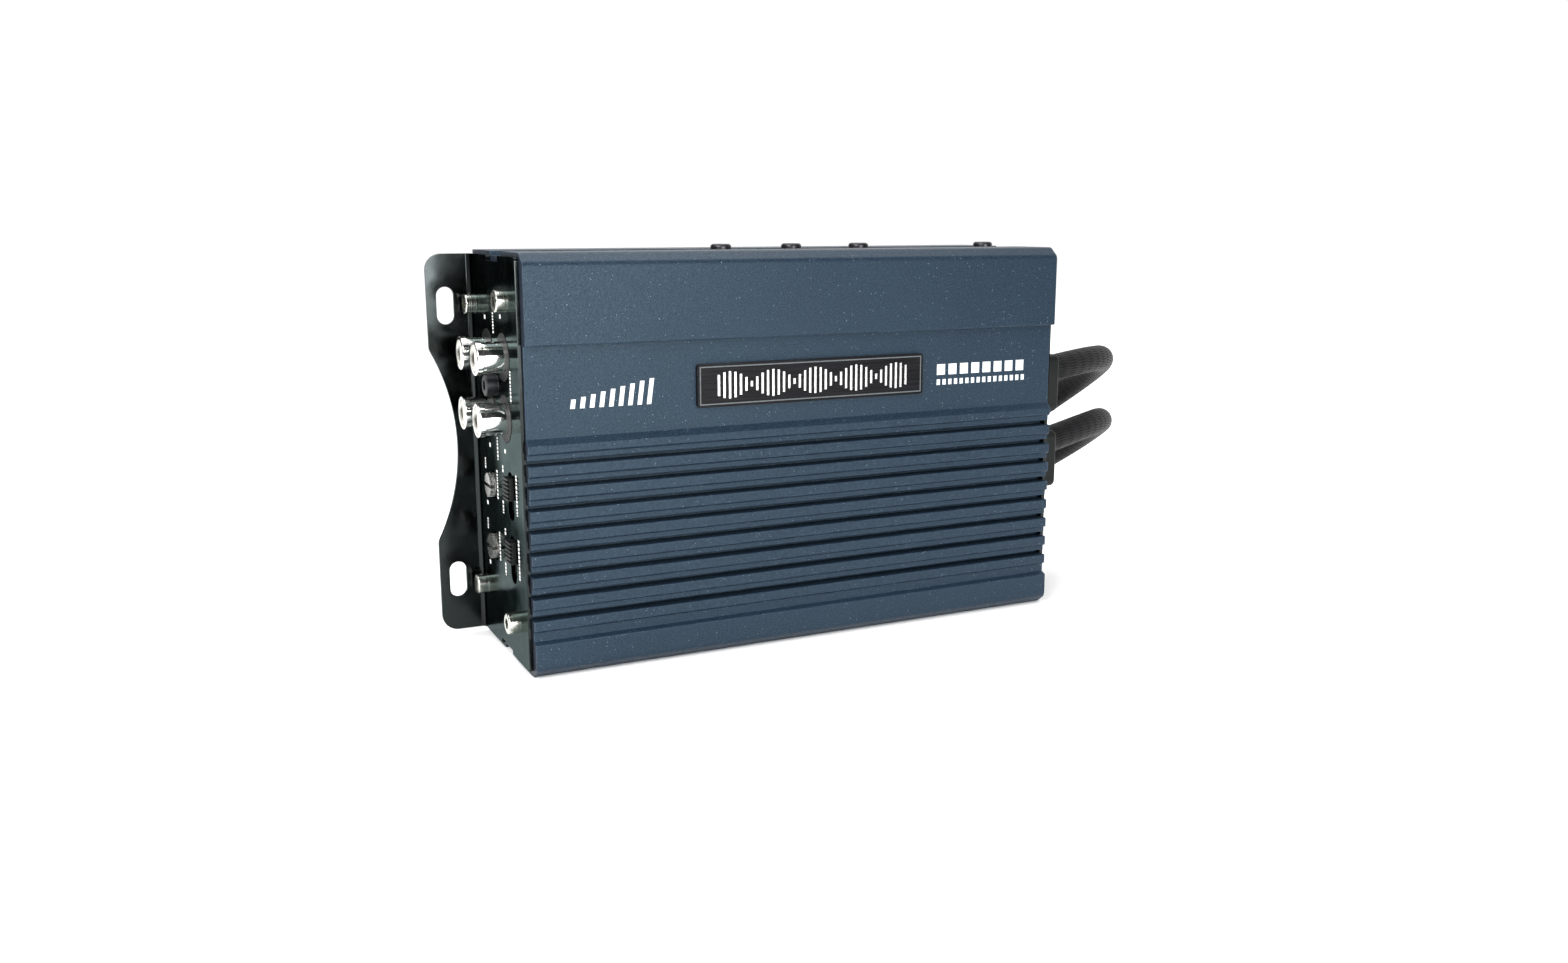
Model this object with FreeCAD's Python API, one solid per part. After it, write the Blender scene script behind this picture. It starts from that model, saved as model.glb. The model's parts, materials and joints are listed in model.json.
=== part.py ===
import FreeCAD, Part
import math
import os

# Car amplifier, standing on its long side as it is displayed.
# Frame, in millimetres: origin under the middle of the housing, at the level of its lowest side.
# +X runs along the extrusion from the input end to the output end, +Y from the finned face to
# the mounting face, +Z up across the width.

V = FreeCAD.Vector
X_AXIS = V(1, 0, 0)
Y_AXIS = V(0, 1, 0)
Z_AXIS = V(0, 0, 1)

# ---- driving dimensions of the housing ----
LENGTH = 150.8
WIDTH = 102.0
DEPTH = 47.0
END = LENGTH / 2
FRONT = -DEPTH / 2
BACK = DEPTH / 2
MID = WIDTH / 2

# ---- section of the heatsink extrusion (depths are measured back from the front plane) ----
WALL = 4.5
FRONT_WALL = 7.5
CHAMFER_DEPTH = 3.0
CHAMFER_HEIGHT = 2.4
EDGE_ROUND = 1.8
TOP_BAND_Z = 80.7
PANEL_DEPTH = 2.0
PANEL_ROUND = 0.3
PANEL_BOTTOM_Z = 58.7
RAMP_HEIGHT = 1.5
RAMP_ROUND = 0.4
RIB_HIGH = 0.6
RIB_LOW = 1.5
RIB_ROUND = 0.25
GROOVE_COUNT = 8
GROOVE_PITCH = 5.41
FIRST_GROOVE_Z = 53.0
LEDGE_ABOVE_GROOVE = 2.15
GROOVE_WIDTH = 1.2
GROOVE_DEPTH = 5.0
BOTTOM_BAND_Z = 8.8
BAND_LEDGE = 0.6
CHANNEL_Y = 0.2
CHANNEL_WIDTH = 10.6
CHANNEL_DEPTH = 1.2
CHANNEL_ROUND = 0.2
BACK_ROUND = 0.5
INNER_ROUND = 1.0
REBATE = 2.4
PORT_RADIUS = 3.0
PORT_WEB_DEPTH = 7.5
PORT_OVERLAP = 0.5

# ---- plates ----
PLATE = 1.0
PLATE_SETBACK = 2.9
PLATE_Z = (1.4, 101.0)
PLATE_CORNER = 1.0
NOTCH_DEPTH = 1.5
NOTCH_ROUND = 0.3
BEND_INSIDE = 1.2
FLANGE_REACH = 12.5
FLANGE_CORNER = 4.2
FLANGE_MID = sum(PLATE_Z) / 2
WAIST_RADIUS = 55.0
WAIST_DEPTH = 6.2
WAIST_BLEND = 3.0
SLOT_WIDTH = 4.5
SLOT_LENGTH = 9.6
SLOT_X = END + 7.8
SLOT_MID = 51.5
SLOT_HALF_SPACING = 36.3
PLATE_OUT = END + PLATE
BASE_PLATE = 2.0
BASE_GAP = 0.1

# ---- screws ----
THREAD = 1.5
THREAD_HOLE = 1.55
CLEARANCE_HOLE = 1.7
CAP_HEAD_R = 2.6
CAP_HEAD_H = 3.0
CAP_HEAD_ROUND = 0.35
CAP_SOCKET_FLATS = 2.5
CAP_SOCKET_DEPTH = 1.4
END_SCREW_LENGTH = 12.0
END_SCREWS = [(-11.9, MID + 39.6), (-11.9, MID - 39.2), (18.6, MID + 37.3), (18.6, MID - 36.6)]
BASE_SCREW_X = (-60.0, 0.0, 60.0)
BASE_SCREW_Z = (MID - 43.0, MID + 43.0)
BASE_SCREW_LENGTH = 7.5
BASE_HOLE_DEPTH = 7.0
SUNK_HEAD_R = 2.8
SUNK_HEAD_H = 1.3
PAN_HEAD_R = 2.75
PAN_HEAD_H = 2.5
PAN_HEAD_ROUND = 0.8
BOARD_SCREW_LENGTH = 6.0
BLOCK_SCREW_LENGTH = 9.0
CROSS_WIDTH = 0.7
CROSS_SPAN = 3.4
CROSS_DEPTH = 1.0

# ---- input end ----
RCA_Y = (-6.9, 8.1)
RCA_Z = (61.9, 76.9)
RCA_SHELL_R = 4.15
RCA_NECK_R = 3.85
RCA_BORE_R = 3.4
RCA_LIP = 1.6
RCA_LIP_ROUND = 0.2
RCA_REACH = 7.0
RCA_COLLAR_R = 5.85
RCA_COLLAR_PROUD = 0.1
RCA_PLATE_HOLE_R = 6.0
RCA_SHELL_INNER_X = -66.0
RCA_INSULATOR_SUNK = 1.2
RCA_CONTACT_R = 2.0
RCA_CONTACT_SUNK = 1.6
RCA_CONTACT_INNER_X = -67.0
RCA_PIN_BORE_R = 1.6
RCA_BLOCK_HALF = 13.4
BOARD_X = -62.0
CONTROL_Z = {"front": 43.1, "rear": 27.1}
LEVEL_Y = 7.4
LEVEL_SHAFT_R = 3.15
LEVEL_BUSH_R = 3.21
LEVEL_PLATE_HOLE_R = 3.7
LEVEL_PROUD = 1.6
LEVEL_SHAFT_DEPTH = 8.0
LEVEL_BORE_DEPTH = 8.3
KNURL_COUNT = 18
KNURL_R = 0.3
KNURL_LENGTH = 2.0
DRIVER_SLOT = 0.9
DRIVER_SLOT_DEPTH = 1.2
POT_HALF = 4.8
SWITCH_Y = -9.5
SWITCH_SLOT_WIDTH = 5.4
SWITCH_SLOT_LENGTH = 12.1
SWITCH_SLOT_ROUND = 2.6
SWITCH_HALF_Y = 3.9
SWITCH_HALF_Z = 7.4
SWITCH_WELL_DEPTH = 6.0
SLIDER_WIDTH = 4.4
SLIDER_LENGTH = 5.5
SLIDER_PROUD = 1.4
SLIDER_TRAVEL = 4.0
SLIDER_GROOVES = 5
SLIDER_GROOVE_PITCH = 1.0
SLIDER_GROOVE_WIDTH = 0.5
SLIDER_GROOVE_DEPTH = 0.7
SLIDER_DEPTH = 5.7
FIT_GAP = 0.05

# ---- boards and what stands on them ----
BOARD = 1.6
MAIN_BOARD_Y = 13.0
MAIN_BOARD_X = (-58.0, 56.0)
MAIN_BOARD_Z = (19.0, 83.0)
CONTROL_BOARD_Y = (-15.0, 13.6)
CONTROL_BOARD_Z = (19.5, 83.5)
HEADER_Z = (44.0, 68.0)
HEADER_PINS = 9
FIRST_HEADER_PIN_Z = 46.0
HEADER_PIN_LENGTH = 2.6
HEADER_BAR = (3.0, 2.5)
HEADER_RISER = (0.6, 3.3)
STANDOFF_R = 3.0
STANDOFF_X = (-50.0, 48.0)
STANDOFF_Z = (25.0, 77.0)
TOROID_CENTRE = (30.0, 42.0)
TOROID_CORE = (8.5, 13.5, 10.0)
TOROID_WIRE = 1.4
CAPACITOR_R = 6.25
CAPACITOR_LENGTH = 19.0
CAPACITOR_X = (-36.0, -21.0, -6.0, 9.0)
CAPACITOR_Z = 34.0
INDUCTOR_X = (-30.0, -6.0)
INDUCTOR_Z = 60.0
INDUCTOR = (3.0, 8.0, 8.0)
CHIP_CENTRE = (16.0, 64.0)
CHIP = (18.0, 3.5, 7.0)
CLAMP_SCREW_X = (-15.7, 4.9, 25.6, 66.8)
CLAMP_SCREW_Y = CHANNEL_Y
CLAMP_BARS = ((-32.0, 42.0), (50.5, 71.5))
CLAMP_BAR = 3.0
CLAMP_BAR_HALF = 3.7
TRANSISTOR_X = (-26.0, -5.4, 15.2, 36.0, 56.2)
TRANSISTOR = (10.0, 15.0, 4.4)
TRANSISTOR_Y = -8.5
PAD = 0.3
PAD_MARGIN = 0.4
LEG_PITCH = 2.54
LEG = 0.6
LEG_REACH = 3.0
LEG_ROOT = 0.5
LEG_FOOT_Z = 80.0

# ---- output end ----
SOCKET_Y = 7.0
SOCKET_Z = {"power": 60.9, "speaker": 37.7}
SOCKET_OUTER = 20.2
SOCKET_BACK_X = 58.0
SOCKET_FLOOR_X = 64.5
SOCKET_PROUD = 0.6
PLUG_HEIGHT = 17.3
PLUG_DEPTH = 17.0
PLUG_TIP_X = 65.0
PLUG_REAR_X = 95.2
PLUG_ROUND = 2.0
PLUG_EDGE = 1.2
PIN_ROWS = (-5.4, -1.8, 1.8, 5.4)
PIN_COLUMNS = (-3.2, 3.2)
PIN_R = 0.6
PIN_TAIL_X = 56.0
PIN_TIP_X = 74.0
PIN_BORE_R = 0.9
PIN_BORE_DEPTH = 10.0
PLUG_GAP = 0.3
LATCH = (7.0, 1.5, 12.0)
LATCH_START_X = 78.0
LATCH_ROOT = 0.5

# ---- free leads: route corners, laid by hand ----
LEAD_R = 4.1
POWER_ROUTE = [
    (95.2, 7.0, 64.0),
    (117.0, 9.0, 67.0),
    (134.0, 25.0, 64.0),
    (138.0, 50.0, 51.0),
    (121.0, 73.0, 30.0),
    (87.0, 84.0, 11.0),
    (45.0, 83.0, 4.2),
    (2.0, 76.0, 4.2),
    (-38.0, 81.0, 4.2),
]
SPEAKER_ROUTE = [
    (95.2, 7.0, 41.4),
    (117.0, 9.0, 46.0),
    (135.0, 25.0, 44.0),
    (140.0, 50.0, 31.0),
    (122.0, 69.0, 14.0),
    (88.0, 66.0, 4.8),
    (44.0, 53.0, 4.2),
    (2.0, 48.0, 4.2),
    (-38.0, 54.0, 4.2),
]
CONNECTOR = (24.0, 18.0, 12.0)
CONNECTOR_ROUND = 1.2
CONNECTOR_BORE_Z = (-2.8, 2.8)
CONNECTOR_LATCH = (14.0, 6.0, 1.2)

# ---- badge ----
BADGE_X = (-32.2, 33.0)
BADGE_Z = (63.7, 74.5)
BADGE = 1.0
BADGE_CORNER = 0.8
EMBLEM = 0.35
EMBLEM_BARS = 37
EMBLEM_PITCH = 1.5
EMBLEM_BAR_WIDTH = 0.6
EMBLEM_SWELL = 12.0
EMBLEM_LOW = 1.4
EMBLEM_HIGH = 6.8


def box(x, y, z):
    """Block between the pairs of limits x, y and z."""
    return Part.makeBox(x[1] - x[0], y[1] - y[0], z[1] - z[0], V(x[0], y[0], z[0]))


def rod(start, axis, length, radius):
    """Cylinder from a start point along an axis."""
    return Part.makeCylinder(radius, length, V(*start), axis)


def tube(start, axis, length, outer, inner):
    """Pipe from a start point along an axis."""
    return rod(start, axis, length, outer).cut(rod(start, axis, length, inner))


def group(solids):
    """Separate solids kept together in one node."""
    return Part.makeCompound(solids)


def fused(solids):
    """One solid out of touching or crossing solids."""
    return solids[0].fuse(solids[1:]).removeSplitter()


def rounded_corner(before, corner, after, radius):
    """Start, middle and end of the arc that rounds one corner."""
    toward_before = (before - corner).normalize()
    toward_after = (after - corner).normalize()
    half = toward_before.getAngle(toward_after) / 2
    reach = radius / math.tan(half)
    inward = (toward_before + toward_after).normalize()
    centre = corner + inward * (radius / math.sin(half))
    middle = centre - inward * radius
    return corner + toward_before * reach, middle, corner + toward_after * reach


def outline(corners, place):
    """Closed wire through (u, v, radius) corners, each one rounded by its radius."""
    points = [place(u, v) for u, v, radius in corners]
    count = len(points)
    edges = []
    stretches = []
    for i in range(count):
        radius = corners[i][2]
        if radius > 0:
            arc = rounded_corner(points[i - 1], points[i], points[(i + 1) % count], radius)
            edges.append(Part.Arc(*arc).toShape())
            stretches.append((arc[0], arc[2]))
        else:
            stretches.append((points[i], points[i]))
    for i in range(count):
        start = stretches[i - 1][1]
        end = stretches[i][0]
        edges.append(Part.LineSegment(start, end).toShape())
    return Part.Wire(Part.__sortEdges__(edges))


def prism_x(corners, x):
    """Outline in the Y-Z plane, extruded along X between two limits."""
    face = Part.Face(outline(corners, lambda u, v: V(x[0], u, v)))
    return face.extrude(X_AXIS * (x[1] - x[0]))


def prism_y(corners, y):
    """Outline in the X-Z plane, extruded along Y between two limits."""
    face = Part.Face(outline(corners, lambda u, v: V(u, y[0], v)))
    return face.extrude(Y_AXIS * (y[1] - y[0]))


def prism_z(corners, z):
    """Outline in the X-Y plane, extruded along Z between two limits."""
    face = Part.Face(outline(corners, lambda u, v: V(u, v, z[0])))
    return face.extrude(Z_AXIS * (z[1] - z[0]))


def rectangle(u, v, radius):
    """Corners of a rounded rectangle between two pairs of limits."""
    return [(u[0], v[0], radius), (u[1], v[0], radius), (u[1], v[1], radius), (u[0], v[1], radius)]


def about(centre, half):
    """Limits half a size each side of a centre."""
    return (centre - half, centre + half)


def mirrored_x(shape):
    return shape.mirror(V(0, 0, 0), X_AXIS)


def hexagon_prism(start, axis, flats, depth):
    """Hexagonal recess from a start point along the X axis, either way."""
    radius = flats / math.sqrt(3)
    corners = []
    for i in range(6):
        angle = math.radians(60 * i)
        corners.append(V(start[0], start[1] + radius * math.cos(angle), start[2] + radius * math.sin(angle)))
    corners.append(corners[0])
    return Part.Face(Part.makePolygon(corners)).extrude(axis * depth)


def cap_screw(y, z, side, length):
    """Socket head screw through an end plate: side is -1 at the input end, +1 at the output."""
    inward = X_AXIS * -side
    seat = side * PLATE_OUT
    tip = seat + side * CAP_HEAD_H
    head = rod((tip, y, z), inward, CAP_HEAD_H, CAP_HEAD_R)
    rim = [e for e in head.Edges if abs(e.CenterOfMass.x - tip) < 0.01 and e.Length > CAP_HEAD_R]
    head = head.makeFillet(CAP_HEAD_ROUND, rim)
    shank = rod((seat, y, z), inward, length, THREAD)
    recess = hexagon_prism((tip, y, z), inward, CAP_SOCKET_FLATS, CAP_SOCKET_DEPTH)
    return fused([head, shank]).cut(recess)


def cross_recess(x, y, z, axis):
    """Cross-shaped driver recess sunk from a head's face along Z or Y."""
    half_w = CROSS_WIDTH / 2
    half_s = CROSS_SPAN / 2
    if axis == Z_AXIS:
        one = box(about(x, half_s), about(y, half_w), (z - CROSS_DEPTH, z))
        two = box(about(x, half_w), about(y, half_s), (z - CROSS_DEPTH, z))
    else:
        one = box(about(x, half_s), (y - CROSS_DEPTH, y), about(z, half_w))
        two = box(about(x, half_w), (y - CROSS_DEPTH, y), about(z, half_s))
    return one.fuse(two)


def rib_ledge(z):
    """Small step between a rib's proud upper part and its lower part."""
    return [(FRONT + RIB_HIGH, z + RIB_ROUND, RIB_ROUND), (FRONT + RIB_LOW, z - RIB_ROUND, RIB_ROUND)]


def front_section():
    """Section of the heatsink's finned face from top to bottom, as (y, z, radius) corners."""
    corners = [
        (FRONT + CHAMFER_DEPTH, WIDTH, EDGE_ROUND),
        (FRONT, WIDTH - CHAMFER_HEIGHT, EDGE_ROUND),
        (FRONT, TOP_BAND_Z, PANEL_ROUND),
        (FRONT + PANEL_DEPTH, TOP_BAND_Z, PANEL_ROUND),
        (FRONT + PANEL_DEPTH, PANEL_BOTTOM_Z, PANEL_ROUND),
        (FRONT + RIB_HIGH, PANEL_BOTTOM_Z - RAMP_HEIGHT, RAMP_ROUND),
    ]
    for i in range(GROOVE_COUNT):
        middle = FIRST_GROOVE_Z - i * GROOVE_PITCH
        top = middle + GROOVE_WIDTH / 2
        bottom = middle - GROOVE_WIDTH / 2
        corners += rib_ledge(middle + LEDGE_ABOVE_GROOVE)
        corners.append((FRONT + RIB_LOW, top, RIB_ROUND))
        corners.append((FRONT + GROOVE_DEPTH, top, 0.0))
        corners.append((FRONT + GROOVE_DEPTH, bottom, 0.0))
        corners.append((FRONT + RIB_HIGH, bottom, RIB_ROUND))
    corners += rib_ledge(FIRST_GROOVE_Z - GROOVE_COUNT * GROOVE_PITCH + LEDGE_ABOVE_GROOVE)
    corners.append((FRONT + RIB_LOW, BOTTOM_BAND_Z + BAND_LEDGE, RIB_ROUND))
    corners.append((FRONT, BOTTOM_BAND_Z, RIB_ROUND))
    corners.append((FRONT, CHAMFER_HEIGHT, EDGE_ROUND))
    corners.append((FRONT + CHAMFER_DEPTH, 0.0, EDGE_ROUND))
    return corners


def side_corners(outer, sign):
    """Outer face of one side wall with its channel, from front to back."""
    floor = outer + sign * CHANNEL_DEPTH
    start, end = about(CHANNEL_Y, CHANNEL_WIDTH / 2)
    places = [(start, outer), (start, floor), (end, floor), (end, outer)]
    return [(y, z, CHANNEL_ROUND) for y, z in places]


def screw_port(y, z):
    """Round bar for one end screw and the web that ties it to the front wall or a side wall."""
    bar = rod((-END, y, z), X_AXIS, LENGTH, PORT_RADIUS)
    if y < 0:
        web_y = (FRONT + FRONT_WALL - PORT_OVERLAP, y)
        web_z = about(z, PORT_RADIUS - PORT_OVERLAP)
    else:
        wall_z = WIDTH - WALL + PORT_OVERLAP if z > MID else WALL - PORT_OVERLAP
        web_y = (BACK - BASE_PLATE - PORT_WEB_DEPTH, BACK - BASE_PLATE)
        web_z = (min(z, wall_z), max(z, wall_z))
    return [bar, box((-END, END), web_y, web_z)]


def heatsink_shell():
    """U-shaped extrusion: finned front wall, two side walls and four screw ports."""
    ledge = BACK - BASE_PLATE
    inner_front = FRONT + FRONT_WALL
    corners = front_section()
    corners += side_corners(0.0, 1)
    corners += [(BACK, 0.0, BACK_ROUND), (BACK, REBATE - BASE_GAP, 0.0), (ledge, REBATE - BASE_GAP, 0.0)]
    corners += [(ledge, WALL, 0.0), (inner_front, WALL, INNER_ROUND)]
    corners += [(inner_front, WIDTH - WALL, INNER_ROUND), (ledge, WIDTH - WALL, 0.0)]
    top_rebate = WIDTH - REBATE + BASE_GAP
    corners += [(ledge, top_rebate, 0.0), (BACK, top_rebate, 0.0), (BACK, WIDTH, BACK_ROUND)]
    corners += reversed(side_corners(WIDTH, -1))
    body = prism_x(corners, (-END, END))
    ports = [shape for y, z in END_SCREWS for shape in screw_port(y, z)]
    body = fused([body] + ports)
    holes = [box((-END, END), (ledge, BACK), (REBATE - BASE_GAP, top_rebate))]
    holes += [rod((-END, y, z), X_AXIS, LENGTH, THREAD_HOLE) for y, z in END_SCREWS]
    for x in BASE_SCREW_X:
        for z in BASE_SCREW_Z:
            holes.append(rod((x, ledge, z), -Y_AXIS, BASE_HOLE_DEPTH, THREAD_HOLE))
    for x in CLAMP_SCREW_X:
        holes.append(rod((x, CLAMP_SCREW_Y, WIDTH), -Z_AXIS, WALL, CLEARANCE_HOLE))
    return body.cut(holes)


def base_plate():
    """Flat steel back cover, sunk in the rebates of the side walls."""
    sheet = box((-END, END), (BACK - BASE_PLATE, BACK), (REBATE, WIDTH - REBATE))
    holes = []
    for x in BASE_SCREW_X:
        for z in BASE_SCREW_Z:
            holes.append(rod((x, BACK, z), -Y_AXIS, BASE_PLATE, CLEARANCE_HOLE))
            sink = SUNK_HEAD_H + CLEARANCE_HOLE - THREAD
            wide = SUNK_HEAD_R + FIT_GAP
            holes.append(Part.makeCone(wide, THREAD, sink, V(x, BACK, z), -Y_AXIS))
    return sheet.cut(holes)


def base_plate_screws():
    """Countersunk screws, flush with the mounting face."""
    screws = []
    for x in BASE_SCREW_X:
        for z in BASE_SCREW_Z:
            head = Part.makeCone(SUNK_HEAD_R, THREAD, SUNK_HEAD_H, V(x, BACK, z), -Y_AXIS)
            shank = rod((x, BACK, z), -Y_AXIS, BASE_SCREW_LENGTH, THREAD)
            screws.append(fused([head, shank]).cut(cross_recess(x, BACK, z, Y_AXIS)))
    return group(screws)


def plate_face():
    """End plate seen along X: set back from the finned face, with a notch at each side channel."""
    low, high = PLATE_Z
    front = FRONT + PLATE_SETBACK
    start, end = about(CHANNEL_Y, CHANNEL_WIDTH / 2)
    return [
        (front, low, PLATE_CORNER),
        (start, low, NOTCH_ROUND),
        (start, low + NOTCH_DEPTH, NOTCH_ROUND),
        (end, low + NOTCH_DEPTH, NOTCH_ROUND),
        (end, low, NOTCH_ROUND),
        (BACK, low, 0.0),
        (BACK, high, 0.0),
        (end, high, NOTCH_ROUND),
        (end, high - NOTCH_DEPTH, NOTCH_ROUND),
        (start, high - NOTCH_DEPTH, NOTCH_ROUND),
        (start, high, NOTCH_ROUND),
        (front, high, PLATE_CORNER),
    ]


def slot_cutter(x, z):
    """Mounting slot through a flange, long across the housing."""
    half = (SLOT_LENGTH - SLOT_WIDTH) / 2
    radius = SLOT_WIDTH / 2
    top = rod((x, BACK, z + half), -Y_AXIS, PLATE, radius)
    bottom = rod((x, BACK, z - half), -Y_AXIS, PLATE, radius)
    return fused([box(about(x, radius), (BACK - PLATE, BACK), about(z, half)), top, bottom])


def thickness_edges(sheet, x):
    """Edges across the sheet's thickness on the flange's outer edge."""
    edges = []
    for edge in sheet.Edges:
        across = abs(edge.tangentAt(edge.FirstParameter).y) > 0.99
        if across and abs(edge.CenterOfMass.x - x) < 0.01:
            edges.append(edge)
    return edges


def bent_plate():
    """Input end plate before its holes: one sheet bent out to a waisted, slotted flange."""
    flange_x = -END - FLANGE_REACH
    side = [
        (-END, FRONT, 0.0),
        (-END, BACK, BEND_INSIDE + PLATE),
        (flange_x, BACK, 0.0),
        (flange_x, BACK - PLATE, 0.0),
        (-PLATE_OUT, BACK - PLATE, BEND_INSIDE),
        (-PLATE_OUT, FRONT, 0.0),
    ]
    sheet = prism_z(side, (0.0, WIDTH)).common(prism_x(plate_face(), (flange_x, -END)))
    sheet = sheet.makeFillet(FLANGE_CORNER, thickness_edges(sheet, flange_x))
    waist_x = flange_x - (WAIST_RADIUS - WAIST_DEPTH)
    sheet = sheet.cut(rod((waist_x, BACK, FLANGE_MID), -Y_AXIS, PLATE, WAIST_RADIUS))
    waist_half = math.sqrt(WAIST_RADIUS ** 2 - (WAIST_RADIUS - WAIST_DEPTH) ** 2)
    waist_ends = []
    for edge in thickness_edges(sheet, flange_x):
        if abs(abs(edge.CenterOfMass.z - FLANGE_MID) - waist_half) < 0.1:
            waist_ends.append(edge)
    sheet = sheet.makeFillet(WAIST_BLEND, waist_ends)
    cuts = [slot_cutter(-SLOT_X, SLOT_MID + SLOT_HALF_SPACING)]
    cuts.append(slot_cutter(-SLOT_X, SLOT_MID - SLOT_HALF_SPACING))
    for y, z in END_SCREWS:
        cuts.append(rod((-PLATE_OUT, y, z), X_AXIS, PLATE, CLEARANCE_HOLE))
    return sheet.cut(cuts)


def input_end_plate():
    """End plate with openings for the jacks, level shafts and crossover switches."""
    cuts = []
    for y in RCA_Y:
        for z in RCA_Z:
            cuts.append(rod((-PLATE_OUT, y, z), X_AXIS, PLATE, RCA_PLATE_HOLE_R))
    cuts.append(rod((-PLATE_OUT, block_centre()[0], block_centre()[1]), X_AXIS, PLATE, CLEARANCE_HOLE))
    for z in CONTROL_Z.values():
        cuts.append(rod((-PLATE_OUT, LEVEL_Y, z), X_AXIS, PLATE, LEVEL_PLATE_HOLE_R))
        slot_y = about(SWITCH_Y, SWITCH_SLOT_WIDTH / 2)
        slot_z = about(z, SWITCH_SLOT_LENGTH / 2)
        cuts.append(prism_x(rectangle(slot_y, slot_z, SWITCH_SLOT_ROUND), (-PLATE_OUT, -END)))
    return bent_plate().cut(cuts)


def output_end_plate():
    """End plate with square openings for the two sockets."""
    half = SOCKET_OUTER / 2 + FIT_GAP
    cuts = []
    for z in SOCKET_Z.values():
        opening = rectangle(about(SOCKET_Y, half), about(z, half), 0.0)
        cuts.append(prism_x(opening, (END, PLATE_OUT)))
    return mirrored_x(bent_plate()).cut(cuts)


def end_plate_screws(side):
    return group([cap_screw(y, z, side, END_SCREW_LENGTH) for y, z in END_SCREWS])


def block_centre():
    """Middle of the two by two group of jacks."""
    return (sum(RCA_Y) / 2, sum(RCA_Z) / 2)


def rca_places():
    return [(y, z) for y in RCA_Y for z in RCA_Z]


def rca_block():
    """Moulded housing of the four jacks, with a collar in each plate hole."""
    y, z = block_centre()
    block = box((-END, BOARD_X), about(y, RCA_BLOCK_HALF), about(z, RCA_BLOCK_HALF))
    collar_length = PLATE + RCA_COLLAR_PROUD
    collars = [rod((-END, cy, cz), -X_AXIS, collar_length, RCA_COLLAR_R) for cy, cz in rca_places()]
    depth = RCA_SHELL_INNER_X + END + collar_length
    bore_r = RCA_NECK_R + FIT_GAP
    bores = [rod((RCA_SHELL_INNER_X, cy, cz), -X_AXIS, depth, bore_r) for cy, cz in rca_places()]
    screw_hole = rod((-END, y, z), X_AXIS, BLOCK_SCREW_LENGTH, THREAD_HOLE)
    return fused([block] + collars).cut(bores + [screw_hole])


def rca_shells():
    """Ground barrels of the jacks: a lip that the plug's ring grips, and a slimmer neck behind it."""
    tip = -PLATE_OUT - RCA_REACH
    length = RCA_SHELL_INNER_X - tip
    shells = []
    for y, z in rca_places():
        lip = rod((tip, y, z), X_AXIS, RCA_LIP, RCA_SHELL_R)
        rims = [e for e in lip.Edges if e.Length > RCA_SHELL_R * math.pi]
        neck = rod((tip, y, z), X_AXIS, length, RCA_NECK_R)
        barrel = fused([lip.makeFillet(RCA_LIP_ROUND, rims), neck])
        shells.append(barrel.cut(rod((tip, y, z), X_AXIS, length, RCA_BORE_R)))
    return group(shells)


def rca_insulators():
    """Moulded sleeves between each barrel and its centre contact."""
    outer = RCA_BORE_R - FIT_GAP
    inner = RCA_CONTACT_R + FIT_GAP
    start = -PLATE_OUT - RCA_REACH + RCA_INSULATOR_SUNK
    length = RCA_SHELL_INNER_X - start
    return group([tube((start, y, z), X_AXIS, length, outer, inner) for y, z in rca_places()])


def rca_contacts():
    """Tubular centre contacts that take the plugs' pins."""
    start = -PLATE_OUT - RCA_REACH + RCA_CONTACT_SUNK
    length = RCA_CONTACT_INNER_X - start
    places = [(start, y, z) for y, z in rca_places()]
    return group([tube(place, X_AXIS, length, RCA_CONTACT_R, RCA_PIN_BORE_R) for place in places])


def rca_block_screw():
    y, z = block_centre()
    return cap_screw(y, z, -1, BLOCK_SCREW_LENGTH)


def level_pot(z):
    """Body of one level potentiometer between the plate and the control board."""
    body = box((-END, BOARD_X), about(LEVEL_Y, POT_HALF), about(z, POT_HALF))
    return body.cut(rod((-END, LEVEL_Y, z), X_AXIS, LEVEL_BORE_DEPTH, LEVEL_BUSH_R))


def level_shaft(z):
    """Knurled shaft with a screwdriver slot, turned from outside."""
    tip = -PLATE_OUT - LEVEL_PROUD
    shaft = rod((tip, LEVEL_Y, z), X_AXIS, LEVEL_SHAFT_DEPTH - END - tip, LEVEL_SHAFT_R)
    cuts = []
    for i in range(KNURL_COUNT):
        angle = math.radians(360.0 * i / KNURL_COUNT)
        y = LEVEL_Y + LEVEL_SHAFT_R * math.cos(angle)
        cuts.append(rod((tip, y, z + LEVEL_SHAFT_R * math.sin(angle)), X_AXIS, KNURL_LENGTH, KNURL_R))
    slot_y = about(LEVEL_Y, LEVEL_SHAFT_R)
    cuts.append(box((tip, tip + DRIVER_SLOT_DEPTH), slot_y, about(z, DRIVER_SLOT / 2)))
    return shaft.cut(cuts)


def switch_body(z):
    """Body of one crossover switch, open towards the plate's slot."""
    body = box((-END, BOARD_X), about(SWITCH_Y, SWITCH_HALF_Y), about(z, SWITCH_HALF_Z))
    well_y = about(SWITCH_Y, SWITCH_SLOT_WIDTH / 2)
    well_z = about(z, SWITCH_SLOT_LENGTH / 2)
    return body.cut(box((-END, SWITCH_WELL_DEPTH - END), well_y, well_z))


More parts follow.
